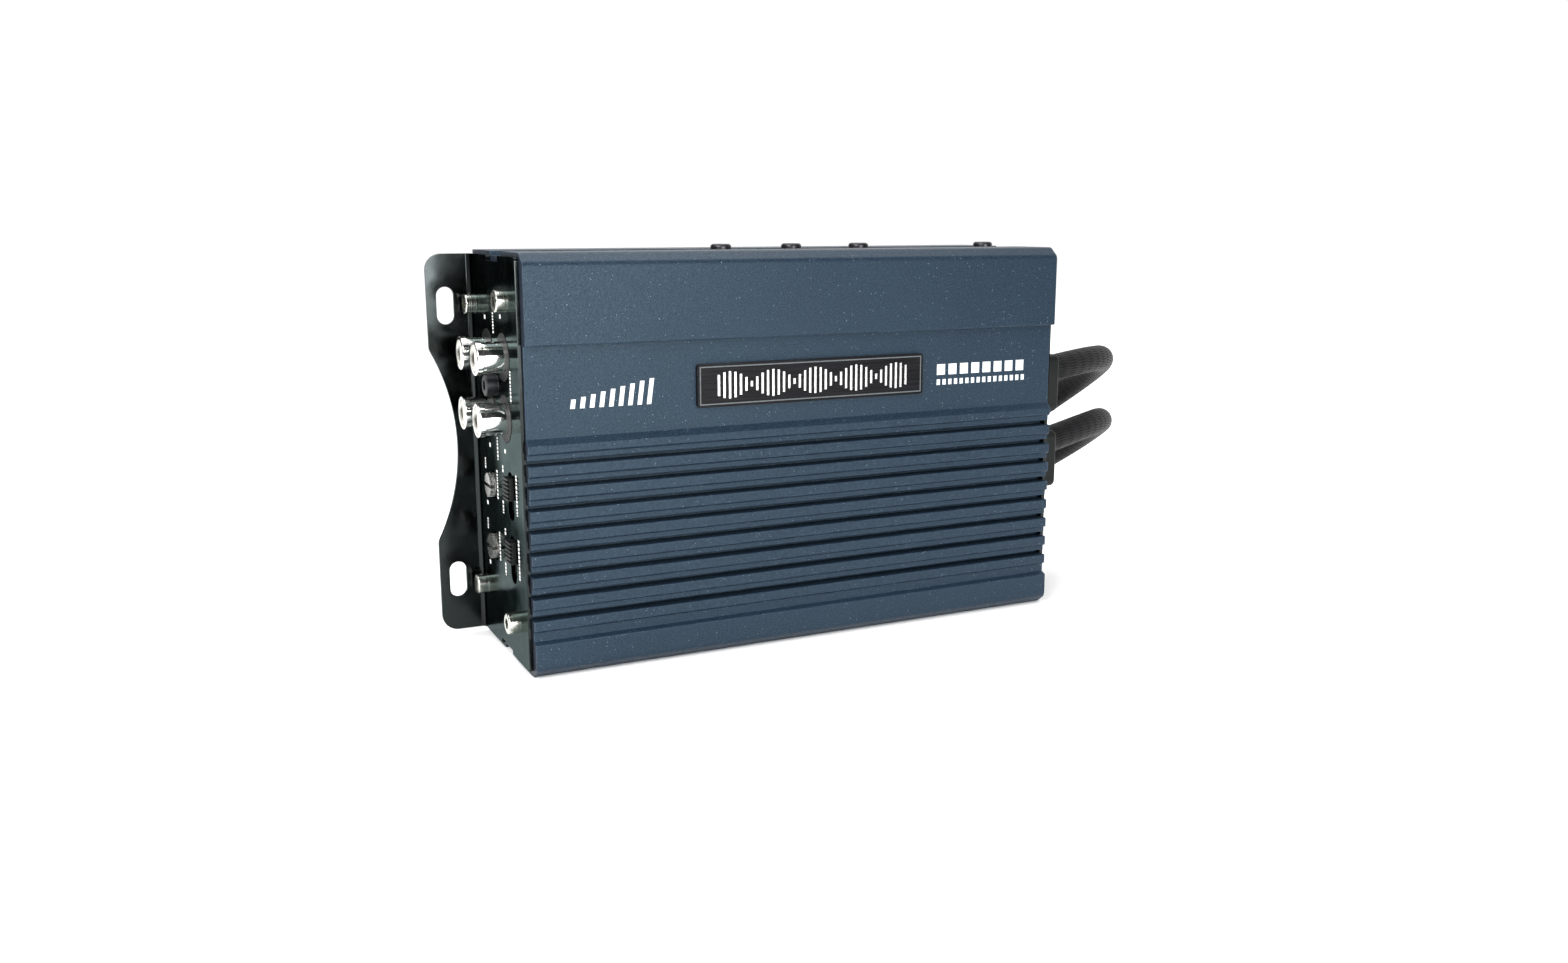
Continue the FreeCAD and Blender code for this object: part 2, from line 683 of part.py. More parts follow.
def switch_slider(z):
    """Ribbed slider of one switch, at the upper end of its travel."""
    middle = z + SLIDER_TRAVEL / 2
    tip = -PLATE_OUT - SLIDER_PROUD
    knob_z = about(middle, SLIDER_LENGTH / 2)
    knob_y = about(SWITCH_Y, SLIDER_WIDTH / 2)
    knob = box((tip, SLIDER_DEPTH - END), knob_y, knob_z)
    grooves = []
    for i in range(SLIDER_GROOVES):
        groove_z = middle + (i - (SLIDER_GROOVES - 1) / 2) * SLIDER_GROOVE_PITCH
        groove_x = (tip, tip + SLIDER_GROOVE_DEPTH)
        grooves.append(box(groove_x, knob_y, about(groove_z, SLIDER_GROOVE_WIDTH / 2)))
    return knob.cut(grooves)


def control_board():
    """Upright board that carries the jacks, pots and switches."""
    return box((BOARD_X, BOARD_X + BOARD), CONTROL_BOARD_Y, CONTROL_BOARD_Z)


def board_header():
    """Strip of pins in a moulded bar that joins the control board to the main board."""
    x = BOARD_X + BOARD
    bar_x = x + HEADER_PIN_LENGTH
    bar = box((bar_x, bar_x + HEADER_BAR[0]), (MAIN_BOARD_Y - HEADER_BAR[1], MAIN_BOARD_Y), HEADER_Z)
    riser = box((bar_x - HEADER_RISER[0], bar_x), (MAIN_BOARD_Y - HEADER_RISER[1], MAIN_BOARD_Y), HEADER_Z)
    pins = []
    for i in range(HEADER_PINS):
        pin_y = about(MAIN_BOARD_Y - HEADER_RISER[1] + LEG / 2, LEG / 2)
        pin_z = about(FIRST_HEADER_PIN_Z + LEG_PITCH * i, LEG / 2)
        pins.append(box((x, bar_x), pin_y, pin_z))
    return fused([bar, riser] + pins)


def main_board():
    """Main circuit board, parallel to the mounting face."""
    sheet = box(MAIN_BOARD_X, (MAIN_BOARD_Y, MAIN_BOARD_Y + BOARD), MAIN_BOARD_Z)
    holes = [rod((x, MAIN_BOARD_Y, z), Y_AXIS, BOARD, CLEARANCE_HOLE) for x in STANDOFF_X for z in STANDOFF_Z]
    return sheet.cut(holes)


def board_standoffs():
    """Threaded spacers between the base plate and the main board."""
    start = MAIN_BOARD_Y + BOARD
    length = BACK - BASE_PLATE - start
    places = [(x, start, z) for x in STANDOFF_X for z in STANDOFF_Z]
    return group([tube(place, Y_AXIS, length, STANDOFF_R, THREAD_HOLE) for place in places])


def board_screws():
    """Pan head screws that hold the main board on its spacers."""
    screws = []
    for x in STANDOFF_X:
        for z in STANDOFF_Z:
            head = rod((x, MAIN_BOARD_Y - PAN_HEAD_H, z), Y_AXIS, PAN_HEAD_H, PAN_HEAD_R)
            shank = rod((x, MAIN_BOARD_Y, z), Y_AXIS, BOARD_SCREW_LENGTH, THREAD)
            screws.append(fused([head, shank]))
    return group(screws)


def ring(centre, inner, outer, height, lift):
    """Ring standing on the main board, lifted off it by a gap."""
    start = (centre[0], MAIN_BOARD_Y - lift - height, centre[1])
    return tube(start, Y_AXIS, height, outer, inner)


def toroid_core():
    inner, outer, height = TOROID_CORE
    return ring(TOROID_CENTRE, inner, outer, height, TOROID_WIRE)


def toroid_winding():
    """Copper winding that wraps the transformer's core all round."""
    inner, outer, height = TOROID_CORE
    wrap = ring(TOROID_CENTRE, inner - TOROID_WIRE, outer + TOROID_WIRE, height + 2 * TOROID_WIRE, 0.0)
    return wrap.cut(ring(TOROID_CENTRE, inner - FIT_GAP, outer + FIT_GAP, height, TOROID_WIRE))


def supply_capacitors():
    """Upright electrolytic capacitors beside the transformer."""
    cans = []
    for x in CAPACITOR_X:
        cans.append(rod((x, MAIN_BOARD_Y, CAPACITOR_Z), -Y_AXIS, CAPACITOR_LENGTH, CAPACITOR_R))
    return group(cans)


def output_inductors():
    """Small wound rings of the output filter."""
    inner, outer, height = INDUCTOR
    return group([ring((x, INDUCTOR_Z), inner, outer, height, 0.0) for x in INDUCTOR_X])


def signal_chip():
    """Driver circuit in a flat package."""
    x, z = CHIP_CENTRE
    return box(about(x, CHIP[0] / 2), (MAIN_BOARD_Y - CHIP[1], MAIN_BOARD_Y), about(z, CHIP[2] / 2))


def power_transistors():
    """Flat power packages clamped to the inside of the side wall, legs bent down to the board."""
    width, length, thick = TRANSISTOR
    top = WIDTH - WALL - PAD
    level = top - thick / 2
    heel = TRANSISTOR_Y + length
    knee = heel + LEG_REACH
    parts = []
    for x in TRANSISTOR_X:
        pieces = [box(about(x, width / 2), (TRANSISTOR_Y, heel), (top - thick, top))]
        for i in (-1, 0, 1):
            leg_x = about(x + i * LEG_PITCH, LEG / 2)
            pieces.append(box(leg_x, (heel - LEG_ROOT, knee), about(level, LEG / 2)))
            pieces.append(box(leg_x, (knee - LEG, knee), (LEG_FOOT_Z, level)))
            pieces.append(box(leg_x, (knee - LEG, MAIN_BOARD_Y), (LEG_FOOT_Z, LEG_FOOT_Z + LEG)))
        parts.append(fused(pieces))
    return group(parts)


def insulating_pads():
    """Thin pads between the transistors and the wall."""
    top = WIDTH - WALL
    pads = []
    pad_y = (TRANSISTOR_Y - PAD_MARGIN, TRANSISTOR_Y + TRANSISTOR[1] + PAD_MARGIN)
    for x in TRANSISTOR_X:
        pads.append(box(about(x, TRANSISTOR[0] / 2 + PAD_MARGIN), pad_y, (top - PAD, top)))
    return group(pads)


def transistor_clamps():
    """Steel bars that press the transistors to the wall."""
    top = WIDTH - WALL - PAD - TRANSISTOR[2]
    bars = []
    for limits in CLAMP_BARS:
        bar = box(limits, about(CLAMP_SCREW_Y, CLAMP_BAR_HALF), (top - CLAMP_BAR, top))
        holes = [rod((x, CLAMP_SCREW_Y, top), -Z_AXIS, CLAMP_BAR, THREAD_HOLE) for x in CLAMP_SCREW_X]
        bars.append(bar.cut(holes))
    return group(bars)


def clamp_screws():
    """Screws through the side wall into the clamp bars, heads outside."""
    seat = WIDTH - CHANNEL_DEPTH
    top = seat + PAN_HEAD_H
    length = WALL - CHANNEL_DEPTH + PAD + TRANSISTOR[2] + CLAMP_BAR
    screws = []
    for x in CLAMP_SCREW_X:
        head = rod((x, CLAMP_SCREW_Y, seat), Z_AXIS, PAN_HEAD_H, PAN_HEAD_R)
        rim = [e for e in head.Edges if abs(e.CenterOfMass.z - top) < 0.01 and e.Length > PAN_HEAD_R]
        head = head.makeFillet(PAN_HEAD_ROUND, rim)
        shank = rod((x, CLAMP_SCREW_Y, seat), -Z_AXIS, length, THREAD)
        screws.append(fused([head, shank]).cut(cross_recess(x, CLAMP_SCREW_Y, top, Z_AXIS)))
    return group(screws)


def pin_places(z):
    return [(SOCKET_Y + column, z + row) for column in PIN_COLUMNS for row in PIN_ROWS]


def socket(z):
    """Square socket in the output end plate, open outwards."""
    half = SOCKET_OUTER / 2
    rim = END + PLATE + SOCKET_PROUD
    block = box((SOCKET_BACK_X, rim), about(SOCKET_Y, half), about(z, half))
    well_y = about(SOCKET_Y, PLUG_DEPTH / 2 + PLUG_GAP)
    well_z = about(z, PLUG_HEIGHT / 2 + PLUG_GAP)
    cuts = [box((SOCKET_FLOOR_X, rim), well_y, well_z)]
    for y, pin_z in pin_places(z):
        cuts.append(rod((SOCKET_BACK_X, y, pin_z), X_AXIS, SOCKET_FLOOR_X - SOCKET_BACK_X, PIN_R + FIT_GAP))
    return block.cut(cuts)


def socket_pins(z):
    length = PIN_TIP_X - PIN_TAIL_X
    return group([rod((PIN_TAIL_X, y, pin_z), X_AXIS, length, PIN_R) for y, pin_z in pin_places(z)])


def plug(z):
    """Moulded harness plug with a latch tongue on its back side."""
    section = rectangle(about(SOCKET_Y, PLUG_DEPTH / 2), about(z, PLUG_HEIGHT / 2), PLUG_ROUND)
    body = prism_x(section, (PLUG_TIP_X, PLUG_REAR_X))
    rear = [e for e in body.Edges if abs(e.CenterOfMass.x - PLUG_REAR_X) < 0.01]
    body = body.makeFillet(PLUG_EDGE, rear)
    bores = [rod((PLUG_TIP_X, y, pin_z), X_AXIS, PIN_BORE_DEPTH, PIN_BORE_R) for y, pin_z in pin_places(z)]
    rear_side = SOCKET_Y + PLUG_DEPTH / 2
    width, thick, length = LATCH
    arm_x = (LATCH_START_X, LATCH_START_X + length)
    arm = box(arm_x, (rear_side - LATCH_ROOT, rear_side + thick), about(z, width / 2))
    return fused([body, arm]).cut(bores)


def lead(route):
    """Round lead along straight runs joined by tangent arcs; also returns its arc radii."""
    points = [V(*corner) for corner in route]
    edges = []
    radii = []
    start = points[0]
    for i in range(1, len(points) - 1):
        before = points[i - 1] - points[i]
        after = points[i + 1] - points[i]
        half_turn = (math.pi - before.getAngle(after)) / 2
        radius = 0.45 * min(before.Length, after.Length) / math.tan(half_turn)
        arc = rounded_corner(points[i - 1], points[i], points[i + 1], radius)
        edges.append(Part.LineSegment(start, arc[0]).toShape())
        edges.append(Part.Arc(*arc).toShape())
        radii.append(radius)
        start = arc[2]
    edges.append(Part.LineSegment(start, points[-1]).toShape())
    path = Part.Wire(edges)
    ring_edge = Part.Circle(points[0], (points[1] - points[0]).normalize(), LEAD_R).toShape()
    solid = path.makePipeShell([Part.Wire(ring_edge)], True, False, 2)
    return solid, path.Length, radii


def lead_node(name, route):
    """Lead solid, with its length, volume and radii printed for the report."""
    solid, length, radii = lead(route)
    section = math.pi * LEAD_R ** 2
    print(name, "length", round(length, 1), "volume ratio", round(solid.Volume / (section * length), 4))
    print(name, "arc radii", [round(radius, 1) for radius in radii])
    return solid


def lead_connector(route):
    """Connector on a lead's far end, square to its last run, with contact bores and a latch."""
    end = V(*route[-1])
    along = (end - V(*route[-2])).normalize()
    length, width, height = CONNECTOR
    low = -end.z
    top = low + height
    body = box((0.0, length), about(0.0, width / 2), (low, top))
    body = body.makeFillet(CONNECTOR_ROUND, [e for e in body.Edges if e.Length == length])
    latch_length, latch_width, latch_height = CONNECTOR_LATCH
    latch_x = (length - latch_length, length)
    latch = box(latch_x, about(0.0, latch_width / 2), (top - LATCH_ROOT, top + latch_height))
    bores = []
    for y in PIN_ROWS:
        for z in CONNECTOR_BORE_Z:
            bore_z = (low + top) / 2 + z
            bores.append(rod((length, y, bore_z), -X_AXIS, PIN_BORE_DEPTH, PIN_BORE_R))
    body = fused([body, latch]).cut(bores)
    body.rotate(V(0, 0, 0), Z_AXIS, math.degrees(math.atan2(along.y, along.x)))
    body.translate(end)
    return body


def badge_plate():
    """Name plate blank, set on the recessed panel."""
    back = FRONT + PANEL_DEPTH
    return prism_y(rectangle(BADGE_X, BADGE_Z, BADGE_CORNER), (back - BADGE, back))


def badge_emblem():
    """Row of thin raised bars on the badge, whose heights swell and shrink along it."""
    face = FRONT + PANEL_DEPTH - BADGE
    middle = sum(BADGE_Z) / 2
    centre = sum(BADGE_X) / 2
    bars = []
    for i in range(EMBLEM_BARS):
        offset = (i - (EMBLEM_BARS - 1) / 2) * EMBLEM_PITCH
        swell = abs(math.cos(math.pi * offset / EMBLEM_SWELL))
        half = (EMBLEM_LOW + (EMBLEM_HIGH - EMBLEM_LOW) * swell) / 2
        x = about(centre + offset, EMBLEM_BAR_WIDTH / 2)
        bars.append(box(x, (face - EMBLEM, face), about(middle, half)))
    return group(bars)


def all_nodes():
    """Every node's shape under its name."""
    nodes = {
        "heatsink_shell": heatsink_shell(),
        "base_plate": base_plate(),
        "base_plate_screws": base_plate_screws(),
        "input_end_plate": input_end_plate(),
        "output_end_plate": output_end_plate(),
        "input_plate_screws": end_plate_screws(-1),
        "output_plate_screws": end_plate_screws(1),
        "rca_block": rca_block(),
        "rca_shells": rca_shells(),
        "rca_insulators": rca_insulators(),
        "rca_contacts": rca_contacts(),
        "rca_block_screw": rca_block_screw(),
        "control_board": control_board(),
        "board_header": board_header(),
        "main_board": main_board(),
        "board_standoffs": board_standoffs(),
        "board_screws": board_screws(),
        "toroid_core": toroid_core(),
        "toroid_winding": toroid_winding(),
        "supply_capacitors": supply_capacitors(),
        "output_inductors": output_inductors(),
        "signal_chip": signal_chip(),
        "power_transistors": power_transistors(),
        "insulating_pads": insulating_pads(),
        "transistor_clamps": transistor_clamps(),
        "clamp_screws": clamp_screws(),
        "badge_plate": badge_plate(),
        "badge_emblem": badge_emblem(),
        "power_lead": lead_node("power_lead", POWER_ROUTE),
        "speaker_lead": lead_node("speaker_lead", SPEAKER_ROUTE),
        "power_lead_connector": lead_connector(POWER_ROUTE),
        "speaker_lead_connector": lead_connector(SPEAKER_ROUTE),
    }
    for channel, z in CONTROL_Z.items():
        nodes[channel + "_level_pot"] = level_pot(z)
        nodes[channel + "_level_shaft"] = level_shaft(z)
        nodes[channel + "_switch_body"] = switch_body(z)
        nodes[channel + "_switch_slider"] = switch_slider(z)
    for kind, z in SOCKET_Z.items():
        nodes[kind + "_socket"] = socket(z)
        nodes[kind + "_socket_pins"] = socket_pins(z)
        nodes[kind + "_plug"] = plug(z)
    return nodes


def main():
    os.makedirs("parts", exist_ok=True)
    for name, shape in all_nodes().items():
        if not shape.isValid():
            print("invalid shape:", name)
        shape.exportStep("parts/" + name + ".step")
        bounds = shape.BoundBox
        low = [round(v, 2) for v in (bounds.XMin, bounds.YMin, bounds.ZMin)]
        high = [round(v, 2) for v in (bounds.XMax, bounds.YMax, bounds.ZMax)]
        print(name, len(shape.Solids), low, high)


main()
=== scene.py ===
import json
import math
import random

import bmesh
import bpy
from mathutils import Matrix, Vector

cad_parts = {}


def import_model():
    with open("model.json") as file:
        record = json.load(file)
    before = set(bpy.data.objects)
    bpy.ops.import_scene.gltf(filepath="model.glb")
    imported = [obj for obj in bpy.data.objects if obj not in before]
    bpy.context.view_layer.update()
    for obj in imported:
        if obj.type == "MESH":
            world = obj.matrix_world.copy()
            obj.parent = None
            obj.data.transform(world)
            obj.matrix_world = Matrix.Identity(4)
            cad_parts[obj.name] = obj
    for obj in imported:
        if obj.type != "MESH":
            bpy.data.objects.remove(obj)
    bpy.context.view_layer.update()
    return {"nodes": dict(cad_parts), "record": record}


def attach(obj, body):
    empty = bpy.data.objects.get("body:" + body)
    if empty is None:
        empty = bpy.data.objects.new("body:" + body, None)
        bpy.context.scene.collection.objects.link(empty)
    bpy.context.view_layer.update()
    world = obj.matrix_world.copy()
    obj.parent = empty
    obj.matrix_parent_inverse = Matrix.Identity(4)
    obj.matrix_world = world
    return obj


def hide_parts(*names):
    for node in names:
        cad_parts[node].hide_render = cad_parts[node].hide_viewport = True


MM = 0.001
SEED = 7

# Camera, left of the amplifier's middle and just above its top edge: its place in metres, its
# heading and downward tilt in degrees, its lens and sensor in millimetres.
CAMERA_AT = Vector((-0.15741, -0.32362, 0.10905))
CAMERA_HEADING = 26.322
CAMERA_DROP = 11.089
CAMERA_LENS = 30.472
CAMERA_SENSOR = 36.0

# Free leads, in metres: the same control points as the CAD tubes.
LEAD_DIAMETER = 0.0082
LEAD_ORDER = 3
LEAD_STEPS = 24
LEAD_ROUNDNESS = 8
POWER_LENGTH = 0.272
SPEAKER_LENGTH = 0.265
POWER_ROUTE = [
    (0.0952, 0.0070, 0.0640),
    (0.1170, 0.0090, 0.0670),
    (0.1340, 0.0250, 0.0640),
    (0.1380, 0.0500, 0.0510),
    (0.1210, 0.0730, 0.0300),
    (0.0870, 0.0840, 0.0110),
    (0.0450, 0.0830, 0.0042),
    (0.0020, 0.0760, 0.0042),
    (-0.0380, 0.0810, 0.0042),
]
SPEAKER_ROUTE = [
    (0.0952, 0.0070, 0.0414),
    (0.1170, 0.0090, 0.0460),
    (0.1350, 0.0250, 0.0440),
    (0.1400, 0.0500, 0.0310),
    (0.1220, 0.0690, 0.0140),
    (0.0880, 0.0660, 0.0048),
    (0.0440, 0.0530, 0.0042),
    (0.0020, 0.0480, 0.0042),
    (-0.0380, 0.0540, 0.0042),
]

# Thickness of printed ink and the faces that carry it, in millimetres.
INK = 0.05
PANEL_FACE_Y = -21.5
BADGE_FACE_Y = -22.5
PLATE_FACE_X = -76.4

# Printed marks on the recessed panel, in millimetres: (low X, high X, low Z, high Z).
LEFT_MARK = (-64.5, -42.8, 65.4, 71.7)
RIGHT_MARK = (38.1, 67.4, 65.6, 71.2)
BADGE_BORDER = (-31.6, 32.4, 64.3, 73.9)
BORDER_WIDTH = 0.3

# Slanted strokes of the left mark: how many, their width, the first one's share of the full
# height, and how far a full stroke leans.
STROKES = 9
STROKE_WIDTH = 1.15
SHORTEST_STROKE = 0.35
STROKE_LEAN = 0.9
# Rows of blocks in the right mark: pitch and gap of each, the height of the low row, and how far
# up the tall row starts.
TALL_ROW = (3.7, 1.1)
TALL_ROW_RAISED = 2.7
LOW_ROW = (1.85, 0.8)
LOW_ROW_HEIGHT = 1.5

# Columns of tick marks on the input end plate, in millimetres: (middle Y, high Z, low Z).
TICK_COLUMNS = [
    (1.3, 87.2, 82.0),
    (-13.0, 74.1, 66.4),
    (1.7, 56.1, 50.4),
    (3.3, 47.5, 39.9),
    (3.3, 31.5, 23.9),
    (15.0, 48.9, 46.0),
    (15.0, 32.9, 30.0),
    (-2.7, 49.7, 47.8),
    (-2.7, 33.7, 31.8),
    (-14.9, 49.2, 39.2),
    (-14.9, 33.2, 23.2),
    (-1.7, 40.6, 37.4),
    (-1.7, 24.6, 21.4),
]
# Single short ticks there: (middle Y, middle Z), and half of their size in Y and Z.
TICKS = [(9.2, 85.6), (-5.9, 86.6), (9.3, 53.1), (-5.6, 53.7), (14.3, 37.2), (14.3, 21.2)]
TICK_HALF = (0.6, 0.5)
# Dashes of a column: widest, and the ranges of their relative width, length and gap.
DASH_WIDTH = 1.1
DASH_SHARE = (0.75, 1.0)
DASH_LENGTH = (0.35, 0.75)
DASH_GAP = (0.25, 0.4)

# Stage, in metres and watts.
FLOOR_HALF = 6.0
SKY_STRENGTH = 1.09
SKY_COLOR = (1.0, 1.0, 1.0, 1.0)
# Dark cards: (name, one foot, other foot, height).
CARDS = [
    ("card_behind_left", (-1.6, 0.72), (-0.245, 0.72), 1.2),
    ("card_left", (-1.6, -1.3), (-1.6, 0.72), 1.2),
    ("card_front", (-1.6, -1.3), (1.8, -1.3), 2.5),
    ("card_right", (0.36, -1.0), (0.36, -0.06), 1.4),
]
# Area lights: (name, place, aim, size, power).
LIGHTS = [
    ("key", (-0.58, -0.42, 0.46), (-0.07, 0.0, 0.04), (0.4, 0.4), 6.5),
    ("sheen", (0.08, -1.10, 0.22), (-0.05, 0.0, 0.04), (0.5, 0.4), 9.0),
    ("top", (0.0, 0.25, 1.2), (0.0, 0.0, 0.0), (1.4, 0.8), 10.0),
]


# ---------------------------------------------------------------- node helpers

class Shader:
    """One material's node tree, built with short calls."""

    def __init__(self, name, color, rough, metal=0.0):
        self.material = bpy.data.materials.new(name)
        self.material.use_nodes = True
        self.nodes = self.material.node_tree.nodes
        self.links = self.material.node_tree.links
        self.bsdf = self.nodes["Principled BSDF"]
        self.set("Base Color", (*color, 1.0))
        self.set("Roughness", rough)
        self.set("Metallic", metal)
        self.place = self.nodes.new("ShaderNodeTexCoord").outputs["Object"]

    def set(self, socket, value):
        self.bsdf.inputs[socket].default_value = value

    def link(self, source, socket):
        self.links.new(source, socket)

    def scaled(self, scale):
        """Object coordinates stretched by a vector scale, per metre."""
        node = self.nodes.new("ShaderNodeMapping")
        node.inputs["Scale"].default_value = scale
        self.link(self.place, node.inputs["Vector"])
        return node.outputs["Vector"]

    def noise(self, cells_per_m, detail=2.0, rough=0.5, vector=None):
        node = self.nodes.new("ShaderNodeTexNoise")
        node.inputs["Scale"].default_value = cells_per_m
        node.inputs["Detail"].default_value = detail
        node.inputs["Roughness"].default_value = rough
        self.link(vector or self.place, node.inputs["Vector"])
        return node.outputs["Fac"]

    def cells(self, cells_per_m, output="Distance"):
        node = self.nodes.new("ShaderNodeTexVoronoi")
        node.inputs["Scale"].default_value = cells_per_m
        self.link(self.place, node.inputs["Vector"])
        return node.outputs[output]

    def remap(self, source, low, high, to_low=0.0, to_high=1.0):
        node = self.nodes.new("ShaderNodeMapRange")
        node.inputs["From Min"].default_value = low
        node.inputs["From Max"].default_value = high
        node.inputs["To Min"].default_value = to_low
        node.inputs["To Max"].default_value = to_high
        self.link(source, node.inputs["Value"])
        return node.outputs["Result"]

    def math(self, operation, a, b):
        node = self.nodes.new("ShaderNodeMath")
        node.operation = operation
        for socket, value in zip(node.inputs, (a, b)):
            if isinstance(value, (int, float)):
                socket.default_value = value
            else:
                self.link(value, socket)
        return node.outputs["Value"]

    def mix(self, fac, a, b):
        """Colour mix of two colours or colour outputs, by a number or an output."""
        node = self.nodes.new("ShaderNodeMix")
        node.data_type = "RGBA"
        if isinstance(fac, float):
            node.inputs["Factor"].default_value = fac
        else:
            self.link(fac, node.inputs["Factor"])
        for socket, value in ((node.inputs[6], a), (node.inputs[7], b)):
            if isinstance(value, tuple):
                socket.default_value = (*value, 1.0)
            else:
                self.link(value, socket)
        return node.outputs[2]

    def edges(self, radius, low, high):
        """1 along convex edges: how far a rounded normal leaves the real one."""
        bevel = self.nodes.new("ShaderNodeBevel")
        bevel.samples = 4
        bevel.inputs["Radius"].default_value = radius
        geometry = self.nodes.new("ShaderNodeNewGeometry")
        dot = self.nodes.new("ShaderNodeVectorMath")
        dot.operation = "DOT_PRODUCT"
        self.link(bevel.outputs["Normal"], dot.inputs[0])
        self.link(geometry.outputs["True Normal"], dot.inputs[1])
        return self.remap(dot.outputs["Value"], low, high, 1.0, 0.0)

    def facing_x(self):
        """1 on faces square to X, such as the sawn ends of the extrusion."""
        coordinates = self.nodes.new("ShaderNodeTexCoord")
        split = self.nodes.new("ShaderNodeSeparateXYZ")
        self.link(coordinates.outputs["Normal"], split.inputs["Vector"])
        return self.remap(self.math("ABSOLUTE", split.outputs["X"], 0.0), 0.90, 0.97)

    def color(self, source):
        self.link(source, self.bsdf.inputs["Base Color"])

    def rough(self, source):
        self.link(source, self.bsdf.inputs["Roughness"])

    def bump(self, source, distance, strength):
        node = self.nodes.new("ShaderNodeBump")
        node.inputs["Distance"].default_value = distance
        node.inputs["Strength"].default_value = strength
        self.link(source, node.inputs["Height"])
        self.link(node.outputs["Normal"], self.bsdf.inputs["Normal"])


# ---------------------------------------------------------------- materials

def powder_coat():
    """Dark blue powder coat: fine grain with light flecks, a painted highlight in patches along
    convex edges and painted shade on the sawn ends.
    """
    s = Shader("powder_coat_blue", (0.040, 0.072, 0.118), 0.5)
    s.set("Specular IOR Level", 0.28)
    s.set("Specular Tint", (0.70, 0.90, 1.0, 1.0))
    cloud = s.remap(s.noise(28.0, 3.0), 0.35, 0.65)
    base = s.mix(cloud, (0.0068, 0.0145, 0.0265), (0.0092, 0.0185, 0.032))
    grain = s.remap(s.noise(2600.0, 2.0, 0.6), 0.38, 0.66)
    grained = s.mix(grain, (0.0035, 0.0085, 0.019), (0.019, 0.034, 0.052))
    speckled = s.mix(0.55, base, grained)
    fleck = s.remap(s.cells(1500.0), 0.16, 0.07)
    rare = s.remap(s.noise(900.0, 1.0), 0.57, 0.63)
    flecked = s.mix(s.math("MULTIPLY", fleck, rare), speckled, (0.22, 0.28, 0.32))
    # Painted highlight: lighter blue along convex edges, broken into patches, stands in for the
    # glint on the edges.
    patches = s.remap(s.noise(240.0, 3.0), 0.40, 0.72, 0.10, 0.75)
    edge_wear_and_highlight = s.math("MULTIPLY", s.edges(0.0004, 0.86, 0.985), patches)
    coated = s.mix(edge_wear_and_highlight, flecked, (0.07, 0.11, 0.16))
    # Painted shade: faces square to X, the sawn ends, are turned near black.
    s.color(s.mix(s.facing_x(), coated, (0.010, 0.014, 0.024)))
    s.rough(s.remap(s.noise(1800.0, 2.0), 0.3, 0.7, 0.34, 0.52))
    s.bump(s.noise(2100.0, 3.0, 0.6), 0.00006, 0.75)
    return s.material


def gloss_black():
    """Black paint on sheet steel: nearly a mirror, with faint orange peel and rubbed edges."""
    s = Shader("gloss_black_paint", (0.026, 0.030, 0.030), 0.16, 1.0)
    s.set("Specular Tint", (0.50, 0.555, 0.55, 1.0))
    patches = s.remap(s.noise(420.0, 3.0), 0.45, 0.75, 0.0, 0.7)
    edge_wear_and_highlight = s.math("MULTIPLY", s.edges(0.00025, 0.85, 0.985), patches)
    s.color(s.mix(edge_wear_and_highlight, (0.026, 0.030, 0.030), (0.10, 0.11, 0.11)))
    s.rough(s.remap(s.noise(160.0, 4.0), 0.3, 0.7, 0.10, 0.22))
    s.bump(s.noise(420.0, 2.0), 0.00002, 0.35)
    return s.material


def satin_black():
    """Satin black painted steel of the back cover and clamp bars."""
    s = Shader("satin_black_steel", (0.022, 0.022, 0.025), 0.42)
    cloud = s.remap(s.noise(60.0, 4.0), 0.35, 0.65)
    s.color(s.mix(cloud, (0.018, 0.018, 0.020), (0.030, 0.030, 0.033)))
    s.rough(s.remap(s.noise(700.0, 3.0), 0.3, 0.7, 0.34, 0.52))
    s.bump(s.noise(1500.0, 2.0), 0.00003, 0.5)
    return s.material


def turned_metal(name, color, rough, rings, wear):
    """Plated metal turned about X: fine rings along the axis, tarnish in patches down to wear."""
    s = Shader(name, color, rough, 1.0)
    tarnish = s.remap(s.noise(300.0, 4.0), 0.45, 0.75)
    dark = tuple(c * wear for c in color)
    s.color(s.mix(tarnish, color, dark))
    lines = s.noise(1.0, 2.0, 0.5, s.scaled((rings, 40.0, 40.0)))
    s.rough(s.remap(lines, 0.3, 0.7, rough * 0.7, rough * 1.4))
    s.bump(lines, 0.000006, 0.5)
    return s.material


def black_oxide():
    """Blackened screw steel, bright where its edges have rubbed."""
    s = Shader("black_oxide_steel", (0.05, 0.05, 0.055), 0.35, 0.85)
    edge_wear_and_highlight = s.edges(0.0002, 0.85, 0.98)
    s.color(s.mix(edge_wear_and_highlight, (0.045, 0.045, 0.050), (0.24, 0.24, 0.25)))
    s.rough(s.remap(s.noise(1200.0, 3.0), 0.3, 0.7, 0.26, 0.46))
    s.bump(s.noise(2400.0, 2.0), 0.00002, 0.4)
    return s.material


def moulded_black():
    """Black moulded plastic with fine spark grain and slightly greyed edges."""
    s = Shader("moulded_black_plastic", (0.020, 0.021, 0.022), 0.48)
    edge_wear_and_highlight = s.edges(0.0003, 0.80, 0.98)
    cloud = s.remap(s.noise(90.0, 3.0), 0.35, 0.65)
    s.set("Specular IOR Level", 0.18)
    body = s.mix(cloud, (0.005, 0.006, 0.006), (0.009, 0.010, 0.010))
    s.color(s.mix(edge_wear_and_highlight, body, (0.024, 0.026, 0.026)))
    s.rough(s.remap(s.noise(2600.0, 2.0), 0.3, 0.7, 0.40, 0.58))
    s.bump(s.noise(3200.0, 2.0), 0.00003, 0.6)
    return s.material


